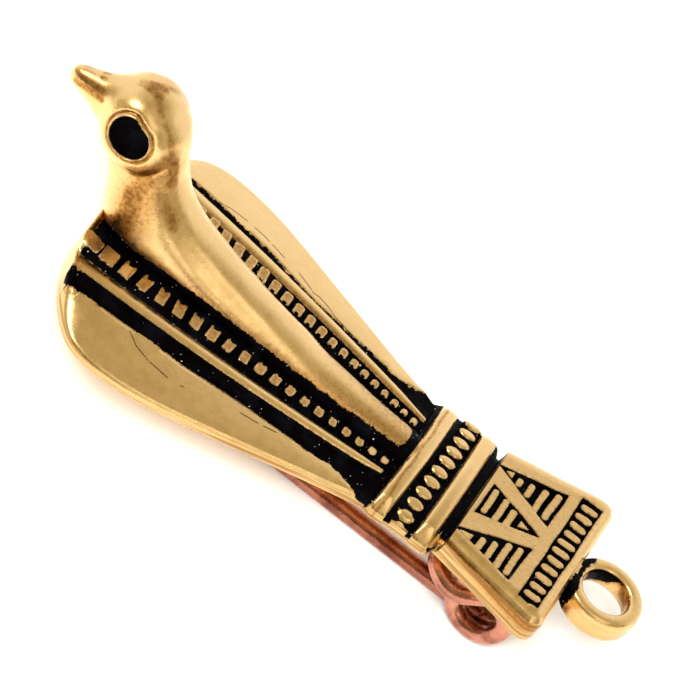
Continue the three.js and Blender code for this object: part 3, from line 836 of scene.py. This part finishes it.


# painted shade and brown toning, from the patches above
def stain_and_shade_depth(p):
    mirrored = p * np.array([1, 0, 1]) + np.abs(p) * np.array([0, 1, 0])
    stain_and_shade = np.zeros(len(p))
    for start, end, reach, strength in STAINS_AND_SHADE:
        start, run = np.array(start), np.array(end) - np.array(start)
        t = np.clip((mirrored - start) @ run / (run @ run), 0, 1)
        away = np.linalg.norm(mirrored - start - t[:, None] * run, axis=1)
        stain_and_shade = np.maximum(stain_and_shade, strength * np.exp(-(away / reach) ** 3))
    return stain_and_shade


class Coat:
    """The patina at each point: how far inside its black the point lies, in millimetres
    (negative: polished), how ragged its edge is there, and how brown the brass is painted:
    real brown toning in places, painted shade and dark reflections in others."""

    def __init__(self, p):
        self.depth = np.full(len(p), -2.0)
        self.ragged = np.full(len(p), 0.1)
        self.brown = stain_and_shade_depth(p)

    def lay(self, where, **layers):
        """Gives the named values to the points where the first argument is true."""
        for name, value in layers.items():
            setattr(self, name, np.where(where, value, getattr(self, name)))


def coat_wings(coat, x, y, z):
    """The bead row's channel and the hollow beside the fillet."""
    a, side = np.abs(y), np.where(y < 0, -1, 1)
    fy, half = fillet_row(x), fillet_reach(x)
    bead = bead_shape(x, a, side)
    row = np.minimum(fy - half + 0.03 - a, 0.01 - bead)
    hollow = np.minimum(a - fy - half + 0.03, hollow_edge(x) - a)
    past_fillet = x - np.where(side < 0, 6.85, 7.9)
    lines = np.maximum(np.maximum(row, hollow), past_fillet)
    outer = a > (fy + hollow_edge(x)) / 2
    on_bead = 0.36 * smooth(bead / 0.2) * (x < 5)
    # the first beads are paler, except right at the front edge
    first_beads_paler = -0.35 * smooth((from_front(x, a) - 0.1) / 0.3)
    on_bead = np.where((x < -15.5) & (bead > 0), first_beads_paler, on_bead)
    # painted shade on the inner side of the far row's bar
    far_bar_shade = 0.5 * smooth((fy - a) / half) * (np.abs(a - fy) < half) * (side > 0)
    on_wing = (x < 7.7) & (z < top_height(x, y) + 0.3) & (z > 0.45)
    coat.lay(on_wing, depth=np.minimum(lines, x - WING_FRONT_X - 0.06), ragged=np.where(outer, 0.42, 0.06),
             brown=np.where(on_bead == 0, far_bar_shade, on_bead))
    wing_side = (x < WING_END_X) & (x > -19.0) & (z < 0.75) & (a > wing_half(x) - 0.3)
    # painted dark reflection: a brown band low on the wings' upright sides
    coat.lay(wing_side, brown=0.62 * bell(z, 0.4, 0.09))


def coat_ridge(coat, x, y, z):
    """The ridge's flanks are black along their foot."""
    foot = follow(x, FLANK) - z
    end_patch = x - 6.95 - 0.6 * np.clip(y + 0.3, 0, 2)
    flank = np.minimum(np.maximum(foot, end_patch), x + 19.6)
    beside = (x < 7.62) & (np.abs(y) < ridge_half(x) + 0.4)
    on_ridge = beside & (z > bead_top(x) - 0.5) & (x > -20.6)
    # brown beside the black: real toning at the patina's edge, and painted shade on the flank
    coat.lay(on_ridge, depth=flank, ragged=0.24, brown=np.maximum(coat.brown, 0.36 * smooth(1 + flank / 0.7)))


def coat_collar(coat, x, y, z):
    """Black between the rings and round the beads, and in the notches of the sides; brown
    stripes across the rings are painted dark reflections.
    """
    bowed = collar_bow(x, y)
    proud = np.maximum(band_distance(bowed, RING1), band_distance(bowed, RING2))
    ground = np.minimum(-proud, 0.01 - collar_bead(x, y))
    ground = np.where((x > 12.4) & (y < -4.7), np.minimum(ground, y + 4.7), ground)
    notch = np.full(len(x), -1.0)
    for middle, reach in SIDE_NOTCHES:
        notch = np.maximum(notch, np.minimum(reach - np.abs(x - middle), z - 0.5))
    cheek = np.abs(y - lean(x)) > plan_half(x) - 0.15
    only_y = np.stack([np.zeros_like(y), y, np.zeros_like(y)], axis=-1)
    wander = x + ripple(only_y, 0.07, 3.0, 31)
    # painted dark reflections: brown stripes along the first ring's crest and the second ring's back edge
    painted_reflection_stripe = 0.4 * bell(wander, 8.15, 0.13) + 0.3 * bell(x, 12.3, 0.12)
    in_collar = (x >= 7.3) & (x < GROOVE_END_X) & (z > 0.2)
    coat.lay(in_collar, depth=np.where(cheek, notch, ground), ragged=np.where(cheek, 0.22, 0.08),
             brown=painted_reflection_stripe)


def coat_tail(coat, x, y, z):
    """The plate's carving, an olive tint over its top that is painted shade, and brown bands
    along its sides: painted shade on the bevel, and a thin dark line at mid-height.
    """
    on_tail = (x >= TAIL_START_X) & (x < 22.3) & (z > tail_top(x) - 0.6)
    black = np.maximum(carving(x, y) + 0.01, np.where(y > -4.7, 13.22 - x, -1))
    # the olive tint over the top is painted shade, standing in for a darker reflection
    coat.lay(on_tail, depth=black, brown=0.13, ragged=0.05)
    tail_side = (x > 12.8) & (x < TAIL_END_X) & (np.abs(y - lean(x)) > tail_half(x) - 0.5)
    # painted shade in a band along the bevel, and a thin dark line at mid-height
    streaks = 0.7 * bell(z, 1.75, 0.2) + 1.0 * bell(z, 1.25, 0.08) * smooth((20.5 - x) / 4)
    coat.lay(tail_side, brown=streaks)


def coat_ring(coat, x, y, z):
    """The ring's neck, and the far part of its hole's wall."""
    ring_r = np.hypot(x - RING_X, y - RING_Y)
    neck = 22.38 - x + 0.3 * np.clip(np.abs(y - RING_Y) - 0.6, 0, 1)
    neck = np.minimum(np.minimum(neck, 2.7 - np.abs(y)), ring_r - RING_HOLE - 0.2)
    at_neck = (x > 21.9) & (np.abs(y) < 2.9) & (x < 23.6) & (z > 0.2)
    coat.lay(at_neck, depth=neck, ragged=0.25)
    lower_edge = 1.1 + 0.85 * smooth((x - 23.9) / 1.1)
    wall = np.minimum(np.minimum(z - lower_edge, y - 0.8), 25.2 - x)
    in_hole = (x > 22.3) & (ring_r < RING_HOLE + 0.3) & (z < RING_TOP_Z - 0.12)
    coat.lay(in_hole, depth=wall, ragged=0.25, brown=0.5 * smooth(1 + wall / 0.6))


def coat_eyes(coat, p):
    for s in (-1, 1):
        away, along = eye_distance(p, s)
        ring = 0.8 * bell(away, 1.82, 0.11)
        coat.lay((away < 2.3) & (along > 1.5), depth=EYE_RADIUS - away, ragged=0.03,
                 brown=np.maximum(coat.brown, ring))


def patina(p):
    """The whole coat; later areas cover earlier ones."""
    coat = Coat(p)
    for area in (coat_wings, coat_ridge, coat_collar, coat_tail, coat_ring):
        area(coat, *p.T)
    coat_eyes(coat, p)
    return coat


def side_shade_share(p, normals):
    """1 on the upright outer faces of the plate, the collar and the ring, 0 elsewhere
    and on the wings' front: where painted shade is laid in streaks on the sides."""
    x, y, z = p[:, 0], p[:, 1], p[:, 2]
    upright = smooth((0.62 - np.abs(normals[:, 2])) / 0.4)
    outer = (np.abs(y - lean(x)) > plan_half(np.clip(x, WING_FRONT_X, TAIL_END_X)) - 0.6) & (z < 2.4)
    outer = outer * smooth((x - WING_FRONT_X - 0.3) / 1.2)
    on_ring = (x > 22.5) & (z < RING_TOP_Z)
    return upright * np.where(on_ring, 0.45, outer)


def hairline(x, points, gaps):
    """y of a hairline crack along the wing, and 1 where it is open, 0 where it is not."""
    shown = window(x, points[0][0], points[-1][0], 0.2)
    for low, high in gaps:
        shown = shown * (1 - window(x, low, high, 0.15))
    return follow(x, points), shown


NEAR_CRACK = [(-13.1, 8.15), (-12.1, 8.8), (-10.8, 9.13), (-9.0, 9.18), (-7.7, 8.87), (-3.6, 7.3),
              (-2.1, 7.0), (-0.7, 6.56)]
NEAR_GAPS = [(-9.0, -8.1), (-7.7, -3.6), (-2.1, -1.75)]
FAR_CRACK = [(-13.4, 8.05), (-12.5, 8.33), (-11.05, 8.44), (-9.4, 8.38), (-7.4, 7.97), (-5.94, 7.74),
             (-4.95, 7.38), (-4.25, 7.08), (-3.8, 7.17), (-2.9, 6.94), (-2.0, 6.55), (-0.3, 6.17)]
FAR_GAPS = [(-11.05, -10.4), (-7.4, -5.94)]


def crack_offset(p):
    """Signed distance across the wing from the hairline crack, and how open it is."""
    x, y, z = p[:, 0], p[:, 1], p[:, 2]
    near_y, near_open = hairline(x, NEAR_CRACK, NEAR_GAPS)
    far_y, far_open = hairline(x, FAR_CRACK, FAR_GAPS)
    offset = np.where(y < 0, -y - near_y, y - far_y)
    return np.clip(offset, -1, 1), np.where(y < 0, near_open, far_open) * (z > 0.6)


def store(obj, name, values):
    attribute = obj.data.attributes.new(name, "FLOAT", "POINT")
    attribute.data.foreach_set("value", np.asarray(values, dtype=np.float32))


# ---- the casting ----
def casting():
    whole = flat_casting()
    for part in (bird(), tail_ring(), catch(), spring_lug()):
        whole = combine(whole, part, "UNION")
    whole.name = whole.data.name = "dove_casting"
    points = vectors(whole.data.vertices, "co") / MM - SHIFT
    coat = patina(points)
    offset, opened = crack_offset(points)
    rim = side_shade_share(points, vectors(whole.data.vertex_normals, "vector"))
    layers = {"coat": coat.depth, "ragged": coat.ragged, "brown": coat.brown, "crack": offset,
              "cracked": opened, "rim": rim}
    for name, values in layers.items():
        store(whole, name, values)
    whole.data.shade_smooth()
    whole.data.set_sharp_from_angle(angle=math.radians(42))
    # lets the large flat faces keep their own shading
    weighted = whole.modifiers.new("normals", "WEIGHTED_NORMAL")
    weighted.keep_sharp = True
    bake(whole)
    return whole


# ---- pin and spring ----
def coil_points(side):
    points, per_turn, turns = [], 28, 1.5
    for k in range(int(turns * per_turn) + 1):
        angle = -math.pi / 2 + k / per_turn * 2 * math.pi
        points.append((COIL_X + COIL_RADIUS * math.cos(angle),
                       side * (COIL_INNER_Y + COIL_PITCH * k / per_turn),
                       COIL_Z + COIL_RADIUS * math.sin(angle)))
    return points


def chord_bend(side):
    """The wire from a coil's outer end to the chord, behind the tail plate."""
    route = [(17.4, 4.75, -1.05), (16.4, 5.1, -1.55), (15.3, 5.05, -1.65), (14.3, 4.55, -1.5),
             (CHORD_X, 3.4, -1.6), (CHORD_X, 1.2, CHORD_Z)]
    return [(x, side * y, z) for x, y, z in route]


def wire_route():
    near, far = -1, 1
    needle = [(x, near * COIL_INNER_Y, NEEDLE_Z) for x in (NEEDLE_TIP_X, -11, -8, -5, -1, 3, 7, 11, 14)]
    free_end = [(COIL_X - 0.9, far * COIL_INNER_Y, NEEDLE_Z)]
    return (needle + coil_points(near) + chord_bend(near) + chord_bend(far)[::-1]
            + coil_points(far)[::-1] + free_end)


def even_line(points, step):
    """The same route with points at an even spacing."""
    fine = catmull(points, 40 * len(points))
    run = np.concatenate([[0], np.cumsum(np.linalg.norm(np.diff(fine, axis=0), axis=1))])
    at = np.linspace(0, run[-1], int(run[-1] / step) + 1)
    return np.stack([np.interp(at, run, fine[:, k]) for k in range(3)], axis=-1), at


def pin_and_spring():
    spacing, sides, blunt_tip = 0.28, 28, 0.06
    line, at = even_line(wire_route(), spacing)
    taper = NEEDLE_TAPER_X - NEEDLE_TIP_X
    radius = WIRE_RADIUS * follow(at, [(0, 0.0), (0.35 * taper, 0.62), (taper, 1.0)])
    radius = np.maximum(radius, blunt_tip)
    radius[0] = 0.02
    radius[-1] *= 0.8
    tangent = np.gradient(line, axis=0)
    tangent /= np.linalg.norm(tangent, axis=1)[:, None]
    normal = np.array([0, 0, 1.0])
    turn = circle(sides)
    rings = []
    for k, (p, t) in enumerate(zip(line, tangent)):
        normal = normal - t * normal.dot(t)
        normal /= np.linalg.norm(normal)
        other = np.cross(t, normal)
        r = radius[k] * (1 + 0.012 * np.sin(3 * turn + k * 0.05))
        rings.append(p + (np.cos(turn) * r)[:, None] * normal + (np.sin(turn) * r)[:, None] * other)
    wire = loft("copper_pin", rings)
    store(wire, "run", np.concatenate([np.repeat(at, sides), [at[0], at[-1]]]))
    wire.data.shade_smooth()
    return wire


# ---- materials ----
class Nodes:
    """Short names for building the node tree of a material or of the world."""

    def __init__(self, owner):
        owner.use_nodes = True
        self.owner, self.tree = owner, owner.node_tree
        self.tree.nodes.clear()

    def add(self, kind, inputs=(), **settings):
        """A node; inputs, by name or number, are plain values or other nodes' outputs."""
        node = self.tree.nodes.new(kind)
        for key, value in settings.items():
            setattr(node, key, value)
        for key, source in dict(inputs).items():
            if isinstance(source, (int, float, tuple)):
                node.inputs[key].default_value = source
            else:
                self.tree.links.new(source, node.inputs[key])
        return node

    def math(self, operation, *sources, clamp=False):
        return self.add("ShaderNodeMath", enumerate(sources), operation=operation, use_clamp=clamp).outputs[0]

    def times(self, a, b):
        return self.math("MULTIPLY", a, b)

    def vector(self, operation, *sources):
        return self.add("ShaderNodeVectorMath", enumerate(sources), operation=operation).outputs

    def ramp(self, source, low, high, out_low=0.0, out_high=1.0):
        inputs = enumerate((source, low, high, out_low, out_high))
        return self.add("ShaderNodeMapRange", inputs, interpolation_type="SMOOTHSTEP").outputs[0]

    def noise(self, where, scale, detail=2.0, roughness=0.5):
        inputs = {"Vector": where, "Scale": scale, "Detail": detail, "Roughness": roughness}
        return self.add("ShaderNodeTexNoise", inputs).outputs["Fac"]

    def blend(self, t, a, b):
        return self.add("ShaderNodeMix", {0: t, 6: a, 7: b}, data_type="RGBA").outputs[2]

    def mixed(self, t, a, b):
        return self.add("ShaderNodeMix", {0: t, 2: a, 3: b}, data_type="FLOAT").outputs[0]

    def attribute(self, name):
        return self.add("ShaderNodeAttribute", attribute_name=name).outputs["Fac"]

    def finish(self, inputs):
        """Ends a material with its shader."""
        shader = self.add("ShaderNodeBsdfPrincipled", inputs)
        self.add("ShaderNodeOutputMaterial", {"Surface": shader.outputs[0]})
        return self.owner


def rgb(r, g, b):
    """An sRGB colour, 0 to 255, as the linear values a shader takes."""
    linear = [((c / 255 + 0.055) / 1.055) ** 2.4 if c > 10 else c / 255 / 12.92 for c in (r, g, b)]
    return (*linear, 1.0)


def metal_nodes(name):
    """A new material's nodes, and the object's coordinates counted in millimetres."""
    n = Nodes(bpy.data.materials.new(name))
    coordinate = n.add("ShaderNodeTexCoord").outputs["Object"]
    return n, n.vector("MULTIPLY", coordinate, (1 / MM,) * 3)[0]


def finish_metal(n, colour, metal, rough, height, specular):
    bump = n.add("ShaderNodeBump", {"Strength": 1.0, "Distance": MM, "Height": height})
    return n.finish({"Base Color": colour, "Metallic": metal, "Roughness": rough,
                     "Specular IOR Level": specular, "Normal": bump.outputs[0]})


def brass_material():
    n, where = metal_nodes("antiqued_brass")
    coat, ragged, brown = n.attribute("coat"), n.attribute("ragged"), n.attribute("brown")

    # the patina's ragged edge
    edge_noise = n.math("SUBTRACT", n.noise(where, 2.4, 6.0, 0.72), 0.5)
    edge = n.math("MULTIPLY_ADD", edge_noise, n.times(ragged, 2.4), coat)
    black = n.ramp(edge, -0.015, 0.015)
    film = n.ramp(edge, -0.2, 0.02)

    # brass, browner where stained or painted with shade, paler on the first beads
    brass = n.blend(n.noise(where, 0.35, 3.0, 0.55), rgb(231, 192, 128), rgb(243, 207, 147))
    brass = n.blend(n.ramp(brown, 0.0, 0.5, 0.0, 0.85), brass, rgb(186, 134, 68))
    brass = n.blend(n.ramp(brown, -1.0, 0.0, 1.0, 0.0), brass, rgb(250, 238, 212))

    # mottled stains beside the patina, mottled brown where stained or painted with shade,
    # and painted shade in streaks on the upright sides
    mottle = n.ramp(n.noise(where, 3.2, 5.0, 0.7), 0.38, 0.62)
    stain_and_shade = n.times(n.times(film, mottle), 0.6)
    grainy = n.math("MULTIPLY_ADD", n.math("SUBTRACT", mottle, 1.0), 0.75, n.times(brown, 1.5), clamp=True)
    stain_and_shade = n.math("MAXIMUM", stain_and_shade, n.times(grainy, 0.9))
    flat = n.vector("MULTIPLY", where, (0.1, 0.1, 3.2))[0]
    streaks = n.ramp(n.noise(flat, 1.0, 3.0, 0.6), 0.42, 0.62, 0.22, 0.75)
    # painted shade in streaks on the upright sides
    stain_and_shade = n.math("MAXIMUM", stain_and_shade, n.times(n.attribute("rim"), streaks))
    brass = n.blend(stain_and_shade, brass, rgb(122, 78, 30))

    # small pits and the hairline cracks
    pits = n.ramp(n.noise(where, 3.4, 3.0, 0.75), 0.70, 0.73)
    brass = n.blend(n.times(pits, 0.7), brass, rgb(90, 60, 30))
    line = n.math("SUBTRACT", 1.0, n.ramp(n.math("ABSOLUTE", n.attribute("crack")), 0.03, 0.065))
    line = n.times(line, n.ramp(n.noise(where, 1.7, 2.0), 0.3, 0.42))
    line = n.times(line, n.attribute("cracked"))
    brass = n.blend(n.times(line, 0.8), brass, rgb(60, 38, 16))

    # black patina with a faint slate bloom and a few pale grains
    bloom = n.noise(where, 0.55, 3.0, 0.6)
    dark = n.blend(n.ramp(bloom, 0.45, 0.7), rgb(2, 1, 2), rgb(7, 7, 11))
    grains = n.ramp(n.noise(where, 4.6, 1.0, 0.5), 0.765, 0.78)
    grains = n.times(grains, n.ramp(ragged, 0.04, 0.06))
    dark = n.blend(n.times(grains, 0.8), dark, rgb(205, 200, 195))

    rough_brass = n.ramp(n.noise(where, 1.1, 4.0, 0.6), 0.3, 0.7, 0.24, 0.36)
    rough_black = n.ramp(n.noise(where, 2.4, 3.0, 0.6), 0.3, 0.75, 0.28, 0.6)
    rough = n.mixed(black, rough_brass, rough_black)

    height = n.times(n.noise(where, 9.0, 4.0, 0.6), 0.008)
    height = n.math("MULTIPLY_ADD", n.noise(where, 2.2, 3.0, 0.55), 0.016, height)
    height = n.math("MULTIPLY_ADD", pits, -0.03, height)
    height = n.math("MULTIPLY_ADD", line, -0.03, height)
    lumps = n.times(n.noise(where, 4.5, 4.0, 0.65), 0.08)
    height = n.math("MULTIPLY_ADD", black, lumps, height)
    metal = n.math("SUBTRACT", 1.0, black)
    return finish_metal(n, n.blend(black, brass, dark), metal, rough, height, 0.025)


def copper_material():
    n, where = metal_nodes("copper_wire")
    run = n.attribute("run")
    copper = n.blend(n.noise(where, 0.5, 3.0, 0.6), rgb(184, 114, 92), rgb(214, 154, 132))
    copper = n.blend(n.ramp(run, 28.0, 33.0, 0.5, 0.0), copper, rgb(142, 80, 58))
    drawn = n.vector("MULTIPLY_ADD", where, (0.45, 0.45, 0.45), n.times(run, 0.15))[0]
    tarnish = n.ramp(n.noise(drawn, 1.0, 4.0, 0.6), 0.38, 0.66)
    copper = n.blend(n.times(tarnish, 0.75), copper, rgb(108, 54, 40))
    specks = n.ramp(n.noise(where, 4.0, 3.0, 0.7), 0.68, 0.73)
    copper = n.blend(n.times(specks, 0.6), copper, rgb(110, 50, 34))
    height = n.times(n.noise(where, 6.0, 4.0, 0.6), 0.012)
    height = n.math("MULTIPLY_ADD", n.noise(where, 1.4, 2.0), 0.05, height)
    rough = n.ramp(n.noise(where, 1.6, 3.0), 0.3, 0.7, 0.2, 0.3)
    return finish_metal(n, copper, 1.0, rough, height, 0.5)


# ---- studio ----
CAMERA_AZIMUTH, CAMERA_ELEVATION, CAMERA_ROLL = -3.0, 42.0, 40.0
CAMERA_DISTANCE, SENSOR_WIDTH = 0.7, 36.0
VIEW_WIDTH = 48.6111
AIM_FORWARD, AIM_HEIGHT = 0.24, 11.55
FLOOR_HALF = 0.6


def direction(azimuth, elevation):
    """Unit vector; azimuth 0 is towards the camera's side, growing towards the ring."""
    a, e = math.radians(azimuth), math.radians(elevation)
    return Vector((math.sin(a) * math.cos(e), -math.cos(a) * math.cos(e), math.sin(e)))


def floor():
    mesh = bpy.data.meshes.new("floor")
    corners = [(-1, -1), (1, -1), (1, 1), (-1, 1)]
    mesh.from_pydata([(FLOOR_HALF * u, FLOOR_HALF * v, 0) for u, v in corners], [], [(0, 1, 2, 3)])
    n = Nodes(bpy.data.materials.new("floor_paint"))
    mesh.materials.append(n.finish({"Base Color": (0.92, 0.92, 0.92, 1), "Roughness": 0.9}))
    link_object("floor", mesh)


def softbox(name, azimuth, elevation, distance, size, radiance, shiny=True):
    """A square light facing the object; shiny=False keeps it out of reflections."""
    light = bpy.data.lights.new(name, "AREA")
    light.shape = "SQUARE"
    light.size = size
    light.energy = radiance * math.pi * size * size
    obj = link_object(name, light)
    way = direction(azimuth, elevation)
    obj.location = way * distance
    obj.rotation_mode = "QUATERNION"
    obj.rotation_quaternion = (-way).to_track_quat("-Z", "Y")
    obj.visible_glossy = shiny


def surround():
    """A dim warm room with a bright sweep behind the object and a dark patch in front."""
    world = bpy.data.worlds.new("studio")
    bpy.context.scene.world = world
    n = Nodes(world)
    toward = n.add("ShaderNodeTexCoord").outputs["Generated"]
    split = n.add("ShaderNodeSeparateXYZ", {0: toward}).outputs
    sweep = n.times(n.ramp(split["Y"], 0.1, 0.4), n.ramp(split["Z"], 0.52, 0.9, 1.0, 0.0))
    room = n.blend(sweep, (0.5, 0.43, 0.27, 1), (1.14, 1.13, 1.12, 1))
    facing = n.vector("DOT_PRODUCT", toward, tuple(direction(-18, 0)))["Value"]
    room = n.blend(n.ramp(facing, 0.76, 0.9), room, (0.24, 0.18, 0.1, 1))
    background = n.add("ShaderNodeBackground", {"Color": room})
    n.add("ShaderNodeOutputWorld", {"Surface": background.outputs[0]})


def studio():
    surround()
    softbox("left lamp", -80, 51, 0.6, 0.17, 13.0)
    softbox("low lamp", 34, 28, 0.6, 0.26, 1.1)
    softbox("high lamp", 50, 64, 0.6, 0.32, 1.0)
    softbox("floor wash", CAMERA_AZIMUTH, 46, 0.65, 0.2, 44.0, shiny=False)
    bpy.context.scene.view_settings.view_transform = "Standard"


def camera():
    data = bpy.data.cameras.new("camera")
    obj = link_object("camera", data)
    back = direction(CAMERA_AZIMUTH, CAMERA_ELEVATION)
    lo, hi = CAD_BOX
    aim = Vector(((lo.x + hi.x) / 2 - AIM_FORWARD * MM, 0, lo.z + AIM_HEIGHT * MM))
    data.sensor_width = SENSOR_WIDTH
    data.lens = SENSOR_WIDTH * CAMERA_DISTANCE / (VIEW_WIDTH * MM)
    data.clip_start, data.clip_end = 0.01, 10
    facing = (-back).to_track_quat("-Z", "Y").to_matrix()
    turn = facing @ Matrix.Rotation(math.radians(CAMERA_ROLL), 3, "Z")
    obj.matrix_world = Matrix.Translation(aim + back * CAMERA_DISTANCE) @ turn.to_4x4()
    bpy.context.scene.camera = obj


# ---- the model ----
camera()
studio()
floor()

brass = brass_material()
copper = copper_material()

dove = casting()
dove.data.materials.clear()
dove.data.materials.append(brass)
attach(dove, "brooch")
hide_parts("fibula_casting")

pin = pin_and_spring()
pin.data.materials.append(copper)
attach(pin, "pin")
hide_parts("pin_and_spring")
